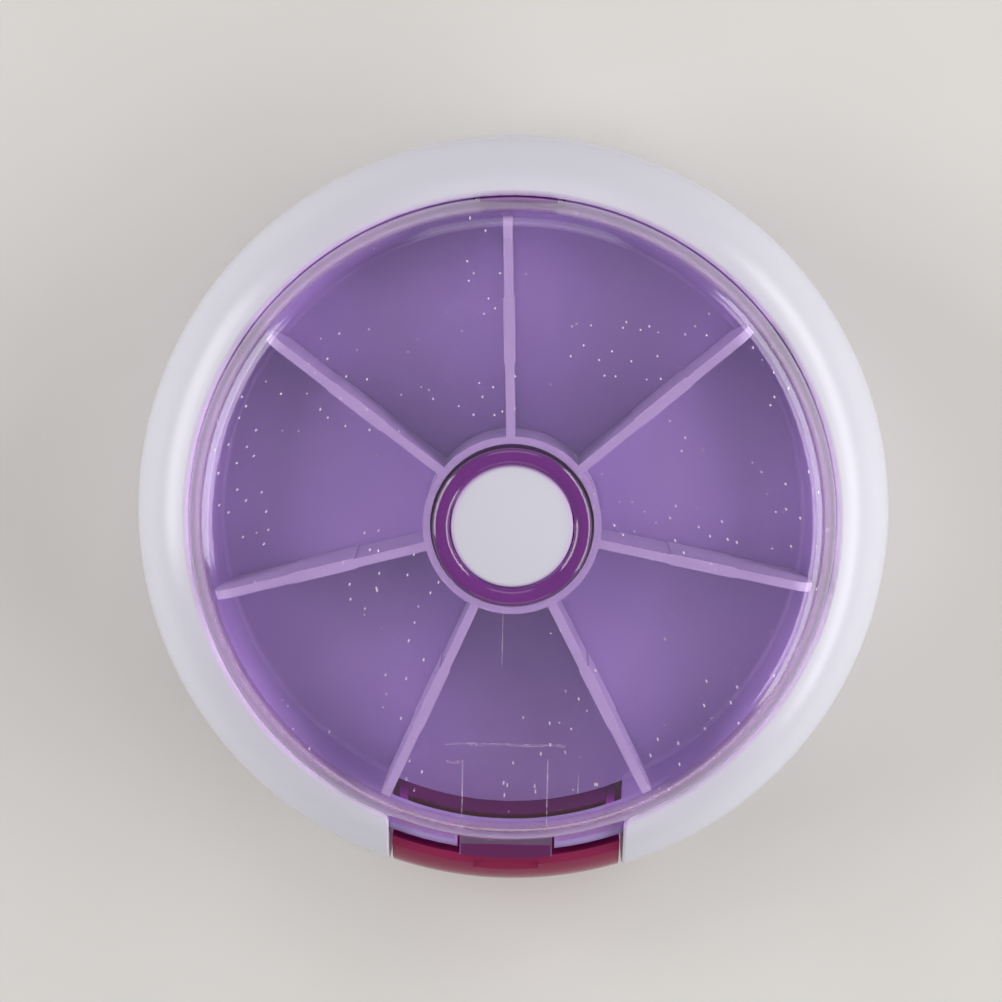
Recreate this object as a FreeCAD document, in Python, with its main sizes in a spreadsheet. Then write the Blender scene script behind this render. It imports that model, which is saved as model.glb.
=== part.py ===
import FreeCAD, Part
import math
import os
from types import SimpleNamespace

import Sketcher

# Rotating weekly pill organizer, in millimetres.
# +Z is up and the origin is the centre of the footprint on the surface that the organizer stands on.
# The outlet with its tilting flap faces -Y. Pressing the button turns the wheel by one compartment:
# seven cam teeth on a sleeve under the button slide down seven sloping notches of a ring that grips
# the wheel, and past the half way the star and its spring take the wheel on to the next compartment.

Vector = FreeCAD.Vector

SIZES = [
    # Wheel and its compartments
    ("compartments", 7, "compartments round the wheel"),
    ("index_phase", 2.0, "degrees that the detent lies off the front-back plane"),
    ("wheel_radius", 35.8, "axis to the tip of a divider"),
    ("vane_height", 10.7, "height of hub and dividers"),
    ("vane_thickness", 1.05, "divider at its ends"),
    ("vane_band_thickness", 1.3, "divider in its middle band"),
    ("vane_band_start", 8.4, "from the hub to the middle band"),
    ("vane_band_length", 7.7, "length of the middle band"),
    ("vane_corner", 2.6, "rounded top corner of a divider"),
    ("hub_wall", 0.85, "wall of the hub tube"),
    ("hub_web", 1.2, "floor of the hub"),
    ("journal_wall", 0.8, "wall of the journal that turns in the bowl"),
    ("shelf_height", 4.0, "height of the cam ring that carries the notches"),
    ("shelf_gap", 0.1, "cam ring round the sleeve web"),
    ("cam_ring_fit", 0.05, "cam ring in the journal of the wheel"),
    ("bead_rise", 0.2, "snap bead beyond the cam ring"),
    ("bead_low", 0.3, "snap bead above the end of the journal"),
    ("bead_height", 0.6, "height of the snap bead"),
    ("notch_land", 4.0, "degrees of flat between two notches"),
    ("drive_angle", 36.0, "degrees that a press turns the wheel, more than half a step"),
    # Button, sleeve and their springs
    ("button_radius", 7.1, "push button"),
    ("button_sink", 0.7, "button edge below the crest of the collar"),
    ("button_dome", 0.4, "crown of the button"),
    ("button_edge", 0.5, "rounded edge of the button"),
    ("press_stroke", 3.0, "travel of the button"),
    ("cap_wall", 1.05, "side wall of the button"),
    ("cap_ceiling", 1.2, "top wall of the button"),
    ("cap_ledge", 0.1, "sleeve beyond the button all round"),
    ("cap_fit", 0.05, "button over the sleeve tube"),
    ("tube_height", 4.0, "sleeve tube inside the button"),
    ("tube_wall", 1.1, "wall of the sleeve tube"),
    ("skirt_wall", 2.1, "radial width of the cam teeth"),
    ("tooth_height", 3.0, "height of a cam tooth"),
    ("tooth_tip", 2.4, "degrees of flat on a cam tooth"),
    ("tooth_back", 4.0, "degrees of the steep side of teeth and notches"),
    ("tooth_seat", 1.7, "degrees from the middle of a seated tooth to the bottom of its notch"),
    ("tooth_gap", 0.4, "tooth above the notches with the button up"),
    ("tooth_relief", 0.4, "room under a tooth with the button down"),
    ("root_cover", 1.2, "sleeve above the tooth roots"),
    ("web_height", 2.2, "sleeve web that takes the spring"),
    ("cam_gap", 0.3, "cam teeth to the journal bore"),
    ("slide_gap", 0.1, "sleeve on the spindle"),
    ("key_gap", 0.15, "sleeve on the spindle ribs"),
    ("spring_wire", 0.6, "wire of the return spring"),
    ("spring_turns", 6, "turns of the return spring"),
    ("spring_gap", 0.2, "spring round the spindle ribs"),
    ("spring_seat", 0.1, "spring to its seats"),
    ("clip_height", 0.6, "thickness of the retaining clip"),
    ("clip_gap", 0.2, "clip above the sleeve web"),
    ("clip_fit", 0.05, "clip in its neck"),
    ("clip_reach", 0.9, "clip beyond the spindle ribs"),
    ("clip_snap", 0.25, "mouth of the clip narrower than its bore, each side"),
    ("star_height", 2.6, "height of the index star"),
    ("star_wall", 3.1, "radial width of the index star"),
    ("star_fit", 0.03, "star on the journal"),
    ("star_gap", 0.4, "star below the bowl"),
    ("star_notch", 1.6, "radius of a star notch"),
    ("star_notch_depth", 0.8, "depth of a star notch"),
    ("journal_end", 0.2, "journal below the star"),
    ("leaf_thickness", 0.3, "index spring strip"),
    ("leaf_half_length", 9.5, "half length of the index spring"),
    ("leaf_gap", 0.15, "index spring clear of the star"),
    ("bump_half", 1.8, "half width of the bump on the index spring"),
    ("bump_rise", 0.8, "height of that bump"),
    # Lid
    ("lid_wall", 1.2, "wall of the lid"),
    ("lid_gap", 0.4, "lid above the wheel"),
    ("lid_corner", 3.2, "inner rounding of the lid"),
    ("lid_seat_gap", 0.2, "lid foot above the bowl rim"),
    ("vane_gap", 0.9, "divider tip to the lid and the bowl wall"),
    ("button_gap", 0.15, "button in the collar"),
    ("collar_wall", 2.05, "wall of the collar"),
    ("collar_depth", 2.6, "collar below the lid"),
    ("collar_crest", 0.5, "rounded rise of the collar"),
    ("collar_gap", 0.25, "collar in the hub"),
    ("foot_reach", 1.0, "front foot of the lid beyond its skirt"),
    ("foot_height", 0.9, "thickness of that foot"),
    ("tongue_half", 5.5, "half width of the front tongue"),
    ("tongue_thickness", 2.1, "radial thickness of the front tongue"),
    ("tongue_drop", 1.6, "front tongue below the lid foot"),
    ("tongue_gap", 0.3, "front tongue to the flap, and beside it"),
    ("tongue_relief", 0.6, "slot at each side of the front tongue"),
    ("hook_half", 5.1, "half width of the back hook"),
    ("hook_thickness", 1.0, "radial thickness of the back hook"),
    ("hook_drop", 2.0, "back hook below the lid foot"),
    ("hook_root", 0.6, "back hook up into the skirt"),
    ("hook_proud", 0.1, "back hook outside the skirt"),
    ("hook_gap", 0.2, "hook and tongue in the bowl rim"),
    # Bowl
    ("bowl_floor", 1.2, "thickness of the bowl floor"),
    ("bowl_depth", 5.6, "bowl floor to its rim"),
    ("bowl_flare", 2.2, "bowl wall leans out by this"),
    ("bowl_wall", 1.3, "bowl wall, measured level"),
    ("bowl_flange", 1.4, "thickness of the rim flange"),
    ("bowl_corner", 0.8, "fillet between floor and wall"),
    ("rim_show", 0.4, "bowl rim outside the bore of the lid"),
    ("flange_inset", 0.1, "flange inside the casing wall"),
    ("flange_edge", 0.2, "straight edge below the rounded flange"),
    ("journal_gap", 0.1, "journal in the bowl"),
    ("wheel_lift", 0.3, "wheel above the bowl floor"),
    ("sill_reach", 0.2, "bowl floor into the outlet"),
    # Base
    ("foot_recess", 0.5, "recess under the base"),
    ("foot_width", 5.0, "foot ring inside the casing wall"),
    ("foot_chamfer", 0.6, "chamfer of the foot"),
    ("base_floor", 1.5, "thickness of the base floor"),
    ("base_rim", 1.5, "thickness of the base rim"),
    ("casing_wall", 1.3, "wall that carries the bowl"),
    ("chute_height", 9.6, "base floor to the bowl"),
    ("chute_wall", 1.2, "walls of the outlet chute"),
    ("chute_gap", 0.3, "chute walls to the bowl and the scoop"),
    ("spindle_radius", 2.4, "spindle of the sleeve"),
    ("spindle_end", 1.2, "spindle above the clip"),
    ("neck_depth", 0.5, "groove for the clip"),
    ("neck_gap", 0.05, "clip in its groove, up and down"),
    ("rib_rise", 0.6, "ribs that keep the sleeve from turning"),
    ("rib_half", 0.6, "half width of a rib"),
    ("rib_stop", 0.1, "rib below the top of the web"),
    ("post_place", 8.7, "axis to a post of the index spring"),
    ("post_length", 2.4, "post along the index spring"),
    ("post_depth", 2.0, "post across the index spring"),
    ("slot_fit", 0.05, "index spring in its slots"),
    # Ring
    ("lip_clearance", 0.2, "lid inside the lip of the ring"),
    ("lip_cover", 2.2, "lip of the ring over the bowl flange"),
    ("lip_gap", 0.3, "lip above the bowl flange"),
    ("lip_face", 1.35, "straight inner face of the lip"),
    ("lip_round", 0.5, "rounded crest of the lip"),
    ("ring_gap", 0.3, "ring outside the casing wall"),
    ("ring_width", 4.4, "bore of the ring to its widest"),
    ("ring_foot", 2.0, "width of the ring at its bottom"),
    ("ring_belly", 10.0, "bottom of the ring to its widest"),
    ("ring_wall", 1.8, "wall of the ring"),
    ("ring_end_wall", 2.2, "closed ends of the ring at the outlet"),
    ("ring_end_round", 1.6, "inner corner of the ring at the outlet"),
    ("ring_end_edge", 0.3, "rounded edge of the ring at the outlet"),
    ("rim_setback", 0.4, "base rim inside the ring"),
    # Flap
    ("flap_half", 13.6, "half width of the flap"),
    ("flap_side_gap", 0.4, "flap between the ends of the ring"),
    ("outlet_gap", 0.3, "outlet beyond the flap"),
    ("flap_gap", 0.6, "flap outside the casing wall"),
    ("flap_lean", 1.2, "inner plate leans out by this"),
    ("flap_wall", 1.1, "inner plate"),
    ("flap_skin", 1.2, "outer skin"),
    ("flap_ridge", 1.0, "width of the top edge"),
    ("flap_rise", 0.6, "flap above the casing wall"),
    ("flap_inset", 0.2, "flap inside the curve of the ring"),
    ("flap_cheek", 1.5, "closed ends of the flap"),
    ("hollow_drop", 2.0, "hollow below the top edge"),
    ("grip_height", 5.0, "finger grip under the outer skin"),
    ("trim_allowance", 2.0, "section beyond the flap before its ends are cut"),
    ("nail_half", 3.9, "half width of the nail notch"),
    ("nail_depth", 0.6, "depth of the nail notch"),
    ("nail_ridge", 0.4, "edge that stays behind the nail notch"),
    ("hinge_setback", 0.4, "hinge axis inside the plate"),
    ("ear_radius", 1.7, "hinge ears"),
    ("ear_width", 1.5, "hinge ears along the axis"),
    ("ear_gap", 0.9, "hinge ears above the base floor"),
    ("pin_radius", 0.9, "hinge pins"),
    ("pin_fit", 0.1, "hinge pins in their sockets"),
    ("pin_reach", 1.5, "hinge pins into the ring"),
    ("pin_end_gap", 0.2, "room at the end of a pin"),
    ("scoop_floor", 1.0, "floor of the scoop"),
    ("scoop_side", 1.0, "side walls of the scoop"),
    ("scoop_side_gap", 0.4, "scoop inside the ends of the flap"),
    ("scoop_gap", 0.5, "scoop below the bowl"),
]

TOTAL_TURN = 360
MINIMUM_CUT = 0.01
EDGE_TOLERANCE = 0.001


# Sizes that carry their number and their formula

class Size:
    """A size: the number draws an outline, the text binds it to the sheet."""

    def __init__(self, number, text):
        self.number = float(number)
        self.text = text

    def __add__(self, other):
        other = as_size(other)
        return Size(self.number + other.number, f"({self.text} + {other.text})")

    def __sub__(self, other):
        other = as_size(other)
        return Size(self.number - other.number, f"({self.text} - {other.text})")

    def __mul__(self, other):
        other = as_size(other)
        return Size(self.number * other.number, f"({self.text} * {other.text})")

    def __truediv__(self, other):
        other = as_size(other)
        return Size(self.number / other.number, f"({self.text} / {other.text})")

    def __neg__(self):
        return Size(-self.number, f"(-1 * {self.text})")

    def __rsub__(self, other):
        return as_size(other) - self

    def __rtruediv__(self, other):
        return as_size(other) / self

    __radd__ = __add__
    __rmul__ = __mul__


def as_size(value):
    return value if isinstance(value, Size) else Size(value, str(value))


def root(size):
    return Size(math.sqrt(size.number), f"sqrt({size.text})")


def tangent(angle):
    return Size(math.tan(math.radians(angle.number)), f"tan({angle.text})")


def angle_of(sine):
    return Size(math.degrees(math.asin(sine.number)), f"(asin({sine.text}) / 1 deg)")


def chord_reach(radius, offset):
    """Distance along the radius line at which a circle stands the offset away from that line."""
    return root(radius * radius - offset * offset)


def radius_through(run, rise):
    """Radius of the arc that starts square to the run and ends the run and the rise away."""
    return (run * run + rise * rise) / (2 * run)


document = FreeCAD.newDocument("PillOrganizer")
sheet = document.addObject("Spreadsheet::Sheet", "Sizes")
for row, (alias, value, note) in enumerate(SIZES, start=1):
    sheet.set(f"A{row}", alias)
    sheet.set(f"B{row}", str(value))
    sheet.set(f"C{row}", note)
    sheet.setAlias(f"B{row}", alias)
document.recompute()
given = SimpleNamespace(**{alias: Size(sheet.get(alias), "Sizes." + alias) for alias, value, note in SIZES})

derived = document.addObject("App::VarSet", "Derived")


def derive(name, size):
    """Keep a size that follows from others under a name of its own."""
    derived.addProperty("App::PropertyFloat", name, "Derived")
    derived.setExpression(name, size.text)
    return Size(size.number, "Derived." + name)


# Heights, from the surface that the organizer stands on

floor_top = derive("floor_top", given.foot_recess + given.base_floor)
bowl_under = derive("bowl_under", floor_top + given.chute_height)
bowl_floor_top = derive("bowl_floor_top", bowl_under + given.bowl_floor)
bowl_rim = derive("bowl_rim", bowl_floor_top + given.bowl_depth)
flange_under = derive("flange_under", bowl_rim - given.bowl_flange)
chute_top = derive("chute_top", bowl_under - given.chute_gap)
wheel_bottom = derive("wheel_bottom", bowl_floor_top + given.wheel_lift)
wheel_top = derive("wheel_top", wheel_bottom + given.vane_height)
lid_foot = derive("lid_foot", bowl_rim + given.lid_seat_gap)
lid_under = derive("lid_under", wheel_top + given.lid_gap)
lid_top = derive("lid_top", lid_under + given.lid_wall)
star_top = derive("star_top", bowl_under - given.star_gap)
star_bottom = derive("star_bottom", star_top - given.star_height)
journal_bottom = derive("journal_bottom", star_bottom - given.journal_end)
shelf_top = derive("shelf_top", journal_bottom + given.shelf_height)
bead_bottom = derive("bead_bottom", journal_bottom + given.bead_low)
bead_top = derive("bead_top", bead_bottom + given.bead_height)
tooth_bottom = derive("tooth_bottom", shelf_top + given.tooth_gap)
tooth_root = derive("tooth_root", tooth_bottom + given.tooth_height)
web_top = derive("web_top", tooth_root + given.root_cover)
web_under = derive("web_under", web_top - given.web_height)
clip_under = derive("clip_under", web_top + given.clip_gap)
clip_top = derive("clip_top", clip_under + given.clip_height)
spindle_top = derive("spindle_top", clip_top + given.spindle_end)
button_edge_level = derive("button_edge_level", lid_top + given.collar_crest - given.button_sink)
button_top = derive("button_top", button_edge_level + given.button_dome)
lip_under = derive("lip_under", bowl_rim + given.lip_gap)
lip_centre = derive("lip_centre", lip_under + given.lip_face)
belly_level = derive("belly_level", given.base_rim + given.ring_belly)
hinge_level = derive("hinge_level", floor_top + given.ear_gap + given.ear_radius)
scoop_under = derive("scoop_under", hinge_level - given.scoop_floor / 2)
flap_top = derive("flap_top", flange_under + given.flap_rise)
skin_bottom = derive("skin_bottom", given.base_rim + given.grip_height)
hollow_top = derive("hollow_top", flap_top - given.hollow_drop)

# Radii, from the spindle outwards

neck_radius = derive("neck_radius", given.spindle_radius - given.neck_depth)
rib_radius = derive("rib_radius", given.spindle_radius + given.rib_rise)
sleeve_bore = derive("sleeve_bore", given.spindle_radius + given.slide_gap)
spring_radius = derive("spring_radius", rib_radius + given.spring_gap + given.spring_wire / 2)
clip_bore = derive("clip_bore", neck_radius + given.clip_fit)
clip_radius = derive("clip_radius", rib_radius + given.clip_reach)
cam_radius = derive("cam_radius", given.button_radius + given.cap_ledge)
skirt_bore = derive("skirt_bore", cam_radius - given.skirt_wall)
shelf_bore = derive("shelf_bore", skirt_bore + given.shelf_gap)
cap_bore = derive("cap_bore", given.button_radius - given.cap_wall)
tube_radius = derive("tube_radius", cap_bore - given.cap_fit)
collar_bore = derive("collar_bore", given.button_radius + given.button_gap)
collar_radius = derive("collar_radius", collar_bore + given.collar_wall)
hub_bore = derive("hub_bore", collar_radius + given.collar_gap)
hub_radius = derive("hub_radius", hub_bore + given.hub_wall)
cam_bore = derive("cam_bore", cam_radius + given.cam_gap)
cam_ring_radius = derive("cam_ring_radius", cam_bore - given.cam_ring_fit)
journal_radius = derive("journal_radius", cam_bore + given.journal_wall)
bowl_bore = derive("bowl_bore", journal_radius + given.journal_gap)
star_bore = derive("star_bore", journal_radius + given.star_fit)
star_radius = derive("star_radius", star_bore + given.star_wall)
leaf_face = derive("leaf_face", star_radius + given.leaf_gap + given.bump_rise)
lid_bore = derive("lid_bore", given.wheel_radius + given.vane_gap)
lid_radius = derive("lid_radius", lid_bore + given.lid_wall)
lid_root = derive("lid_root", lid_bore + given.lid_wall / 2)
lid_foot_radius = derive("lid_foot_radius", lid_radius + given.foot_reach)
lip_radius = derive("lip_radius", lid_radius + given.lip_clearance)
casing_radius = derive("casing_radius", lip_radius + given.lip_cover)
casing_bore = derive("casing_bore", casing_radius - given.casing_wall)
foot_radius = derive("foot_radius", casing_bore - given.foot_width)
ring_bore = derive("ring_bore", casing_radius + given.ring_gap)
ring_radius = derive("ring_radius", ring_bore + given.ring_width)
ring_foot_radius = derive("ring_foot_radius", ring_bore + given.ring_foot)
base_radius = derive("base_radius", ring_foot_radius - given.rim_setback)
bowl_top_radius = derive("bowl_top_radius", lid_bore + given.rim_show)
bowl_bottom_radius = derive("bowl_bottom_radius", bowl_top_radius - given.bowl_flare)
flange_radius = derive("flange_radius", casing_radius - given.flange_inset)
flap_top_bore = derive("flap_top_bore", casing_radius + given.flap_gap)
flap_bore = derive("flap_bore", flap_top_bore - given.flap_lean)
flap_belly = derive("flap_belly", ring_radius - given.flap_inset)
hinge_radius = derive("hinge_radius", flap_bore - given.hinge_setback)
tongue_radius = derive("tongue_radius", flap_top_bore - given.tongue_gap)
tongue_bore = derive("tongue_bore", tongue_radius - given.tongue_thickness)
hook_radius = derive("hook_radius", lid_radius + given.hook_proud)
hook_bore = derive("hook_bore", hook_radius - given.hook_thickness)

# Curves of the ring, which the flap follows

low_curve = derive("low_curve", radius_through(given.ring_width - given.ring_foot, given.ring_belly))
low_centre = derive("low_centre", ring_radius - low_curve)
crest_run = derive("crest_run", ring_radius - lip_radius - given.lip_round)
crest_rise = derive("crest_rise", lip_centre - belly_level)
crown_curve = derive(
    "crown_curve",
    (crest_run * crest_run + crest_rise * crest_rise - given.lip_round * given.lip_round)
    / (2 * (crest_run - given.lip_round)),
)
crown_centre = derive("crown_centre", ring_radius - crown_curve)
crown_share = derive("crown_share", crown_curve / (crown_curve - given.lip_round))

# Widths and angles round the outlet

outlet_half = derive("outlet_half", given.flap_half + given.outlet_gap)
ring_gap_half = derive("ring_gap_half", given.flap_half + given.flap_side_gap)
scoop_half = derive("scoop_half", given.flap_half - given.scoop_side_gap)
scoop_reach = derive("scoop_reach", bowl_under - hinge_level - given.scoop_gap)
chute_back = derive("chute_back", hinge_radius - scoop_reach - given.chute_gap)
pin_end = derive("pin_end", ring_gap_half + given.pin_reach)
half_pitch = derive("half_pitch", 180 / given.compartments)
notch_edge = derive("notch_edge", given.notch_land / 2 + given.tooth_back)
seat_angle = derive("seat_angle", given.drive_angle + notch_edge + given.tooth_seat)
sleeve_phase = derive("sleeve_phase", given.index_phase + seat_angle)
key_phase = derive("key_phase", 180 - seat_angle)


# Drawing helpers

def line(across, up):
    """Corner reached by a straight edge."""
    return across, up, None, 1


def left(across, up, radius):
    """Corner reached by an arc of under a half circle that turns left."""
    return across, up, radius, 1


def right(across, up, radius):
    """Corner reached by an arc of under a half circle that turns right."""
    return across, up, radius, -1


def flip(corners):
    """The same outline on the other side of the upright axis."""
    return [(-across, up, radius, -turn) for across, up, radius, turn in corners]


def rectangle(left_side, right_side, low, high):
    return [line(left_side, low), line(right_side, low), line(right_side, high), line(left_side, high)]


def sector(half_width, inner, outer, side):
    """Part of an annulus with straight ends, at the front for side -1 and at the back for side 1."""
    near = chord_reach(inner, half_width)
    far = chord_reach(outer, half_width)
    return [
        right(half_width * side, near * side, inner),
        line(half_width * side, far * side),
        left(half_width * -side, far * side, outer),
        line(half_width * -side, near * side),
    ]


def origin_part(body, role):
    return [item for item in body.Origin.OriginFeatures if item.Role == role][0]


def new_sketch(body, name, plane, lift=None, phase=None):
    """Sketch on an origin plane of the body, lifted off it and turned where asked."""
    sketch = body.newObject("Sketcher::SketchObject", name)
    sketch.AttachmentSupport = (origin_part(body, plane), [""])
    sketch.MapMode = "FlatFace"
    if phase is not None:
        sketch.AttachmentOffset = FreeCAD.Placement(Vector(), FreeCAD.Rotation(Vector(0, 0, 1), phase.number))
        sketch.setExpression("AttachmentOffset.Rotation.Angle", phase.text)
    if lift is not None:
        sketch.setExpression("AttachmentOffset.Base.z", lift.text)
    return sketch


def arc_between(start, end, radius, turn):
    chord = end - start
    rise = math.sqrt(max(radius ** 2 - (chord.Length / 2) ** 2, 0))
    side = Vector(-chord.y, chord.x, 0) / chord.Length
    centre = (start + end) / 2 + side * rise * turn
    first, last = (start, end) if turn > 0 else (end, start)
    angles = [math.atan2(point.y - centre.y, point.x - centre.x) for point in (first, last)]
    return Part.ArcOfCircle(Part.Circle(centre, Vector(0, 0, 1), radius), *angles)


def pin_coordinate(kind, geometry, vertex, size, axis):
    """Constraint that holds one coordinate of a point, on the axis where it is nought."""
    if as_size(size).number == 0:
        return Sketcher.Constraint("PointOnObject", geometry, vertex, axis)
    return Sketcher.Constraint(kind, -1, 1, geometry, vertex, size.number)


def add_constraints(sketch, entries):
    """Add (constraint, size or None) pairs and bind each sized one to its formula."""
    numbers = sketch.addConstraint([constraint for constraint, size in entries])
    for number, (constraint, size) in zip(numbers, entries):
        if isinstance(size, Size) and constraint.Type != "PointOnObject":
            sketch.setExpression(f"Constraints[{number}]", size.text)


def draw_outline(sketch, corners):
    """Closed outline whose corners and radii all follow the sheet."""
    points = [Vector(as_size(corner[0]).number, as_size(corner[1]).number, 0) for corner in corners]
    edges = []
    for index, (across, up, radius, turn) in enumerate(corners):
        start, end = points[index - 1], points[index]
        if radius is None:
            edges.append(Part.LineSegment(start, end))
        else:
            edges.append(arc_between(start, end, radius.number, turn))
    numbers = sketch.addGeometry(edges, False)
    entries = []
    for index, (across, up, radius, turn) in enumerate(corners):
        edge = numbers[index]
        following = (index + 1) % len(corners)
        arrives = 2 if turn > 0 else 1
        departs = 1 if corners[following][3] > 0 else 2
        entries.append((Sketcher.Constraint("Coincident", edge, arrives, numbers[following], departs), None))
        entries.append((pin_coordinate("DistanceX", edge, arrives, across, -2), across))
        entries.append((pin_coordinate("DistanceY", edge, arrives, up, -1), up))
        if radius is not None:
            entries.append((Sketcher.Constraint("Radius", edge, radius.number), radius))
    add_constraints(sketch, entries)


def draw_circle(sketch, across, up, radius):
    centre = Vector(as_size(across).number, as_size(up).number, 0)
    edge = sketch.addGeometry(Part.Circle(centre, Vector(0, 0, 1), radius.number), False)
    add_constraints(sketch, [
        (pin_coordinate("DistanceX", edge, 3, across, -2), across),
        (pin_coordinate("DistanceY", edge, 3, up, -1), up),
        (Sketcher.Constraint("Radius", edge, radius.number), radius),
    ])


def draw(sketch, shapes):
    """Draw outlines, given as lists of corners, and circles, given as (across, up, radius)."""
    for shape in shapes:
        if isinstance(shape, list):
            draw_outline(sketch, shape)
        else:
            draw_circle(sketch, *shape)


# Feature helpers

def new_piece(name, phase=None):
    """Body named as its file, turned about the axis where a phase is given."""
    body = document.addObject("PartDesign::Body", name)
    body.Label = name
    body.Placement = FreeCAD.Placement(Vector(), FreeCAD.Rotation(Vector(0, 0, 1), 0))
    if phase is not None:
        body.Placement = FreeCAD.Placement(Vector(), FreeCAD.Rotation(Vector(0, 0, 1), phase.number))
        body.setExpression("Placement.Rotation.Angle", phase.text)
    return body


def extrude(body, name, shapes, low, high, plane="XY_Plane", cut=False, phase=None):
    """Pad, or pocket where cut, between two levels along the normal of an origin plane."""
    sketch = new_sketch(body, name + "Sketch", plane, as_size(low), phase)
    draw(sketch, shapes)
    feature = body.newObject("PartDesign::Pocket" if cut else "PartDesign::Pad", name)
    feature.Profile = sketch
    feature.Reversed = cut
    feature.setExpression("Length", (high - low).text)
    return feature


def revolve(body, name, corners, plane="XZ_Plane", angle=None, cut=False):
    """Revolution, or groove where cut, of a section about Z, all round or centred on its plane."""
    sketch = new_sketch(body, name + "Sketch", plane)
    draw(sketch, [corners])
    feature = body.newObject("PartDesign::Groove" if cut else "PartDesign::Revolution", name)
    feature.Profile = sketch
    feature.ReferenceAxis = (sketch, ["V_Axis"])
    feature.Angle = TOTAL_TURN
    if angle is not None:
        feature.Midplane = True
        feature.setExpression("Angle", angle.text)
    return feature


def pattern(body, name, originals):
    """Repeat features once for each compartment."""
    feature = body.newObject("PartDesign::PolarPattern", name)
    feature.Originals = originals
    feature.Axis = (origin_part(body, "Z_Axis"), [""])
    feature.Angle = TOTAL_TURN
    feature.setExpression("Occurrences", given.compartments.text)
    body.Tip = feature
    return feature


def mirror(body, name, originals):
    """Repeat features on the other side of the front-back plane."""
    feature = body.newObject("PartDesign::Mirrored", name)
    feature.Originals = originals
    feature.MirrorPlane = (origin_part(body, "YZ_Plane"), [""])
    body.Tip = feature
    return feature


def fillet(body, name, base, radius, wanted):
    """Round the edges of the base feature that the test wants."""
    document.recompute()
    edges = [f"Edge{number}" for number, edge in enumerate(base.Shape.Edges, start=1) if wanted(edge)]
    if not edges:
        raise RuntimeError(f"{name} finds no edge to round")
    feature = body.newObject("PartDesign::Fillet", name)
    feature.Base = (base, edges)
    feature.setExpression("Radius", radius.text)
    return feature


def is_circle(edge, radius, level):
    """A full circle about the axis with this radius, at this level."""
    if not isinstance(edge.Curve, Part.Circle) or not edge.isClosed():
        return False
    same_radius = abs(edge.Curve.Radius - radius.number) < EDGE_TOLERANCE
    return same_radius and abs(edge.Curve.Center.z - level.number) < EDGE_TOLERANCE


# Base shell: pan with foot ring, casing wall, spindle and chute

def make_base_shell():
    body = new_piece("base_shell")
    neck_low = clip_under - given.neck_gap
    neck_high = clip_top + given.neck_gap
    revolve(body, "Pan", [
        line(0, given.foot_recess),
        line(foot_radius, given.foot_recess),
        line(foot_radius, 0),
        line(base_radius - given.foot_chamfer, 0),
        line(base_radius, given.foot_chamfer),
        line(base_radius, given.base_rim),
        line(casing_radius, given.base_rim),
        line(casing_radius, flange_under),
        line(casing_bore, flange_under),
        line(casing_bore, floor_top),
        line(given.spindle_radius, floor_top),
        line(given.spindle_radius, neck_low),
        line(neck_radius, neck_low),
        line(neck_radius, neck_high),
        line(given.spindle_radius, neck_high),
        line(given.spindle_radius, spindle_top),
        line(0, spindle_top),
    ])
    outlet = rectangle(-outlet_half, outlet_half, -base_radius, -foot_radius)
    extrude(body, "Outlet", [outlet], floor_top, flange_under, cut=True)
    wall_end = chord_reach(casing_bore, outlet_half) + given.casing_wall / 2
    chute_outer = outlet_half + given.chute_wall
    chute = [
        line(-chute_outer, -wall_end),
        line(-outlet_half, -wall_end),
        line(-outlet_half, -chute_back),
        line(outlet_half, -chute_back),
        line(outlet_half, -wall_end),
        line(chute_outer, -wall_end),
        line(chute_outer, given.chute_wall - chute_back),
        line(-chute_outer, given.chute_wall - chute_back),
    ]
    extrude(body, "Chute", [chute], floor_top, chute_top)
    ribs = rectangle(-rib_radius, rib_radius, -given.rib_half, given.rib_half)
    extrude(body, "Ribs", [ribs], floor_top, web_top - given.rib_stop, phase=given.index_phase)
    leaf_middle = leaf_face + given.leaf_thickness / 2
    post_near = leaf_middle - given.post_depth / 2
    post_far = leaf_middle + given.post_depth / 2
    post_start = given.post_place - given.post_length / 2
    post_end = given.post_place + given.post_length / 2
    posts = [
        rectangle(post_start, post_end, post_near, post_far),
        rectangle(-post_end, -post_start, post_near, post_far),
    ]
    extrude(body, "Posts", posts, floor_top, chute_top, phase=given.index_phase)
    slot_near = leaf_face - given.slot_fit
    slot_far = leaf_face + given.leaf_thickness + given.slot_fit
    slots = rectangle(-post_end - given.post_depth, post_end + given.post_depth, slot_near, slot_far)
    extrude(body, "Slots", [slots], star_bottom, chute_top, cut=True, phase=given.index_phase)
    return body


# Inner bowl: floor and flared wall round the wheel, with the outlet window

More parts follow.
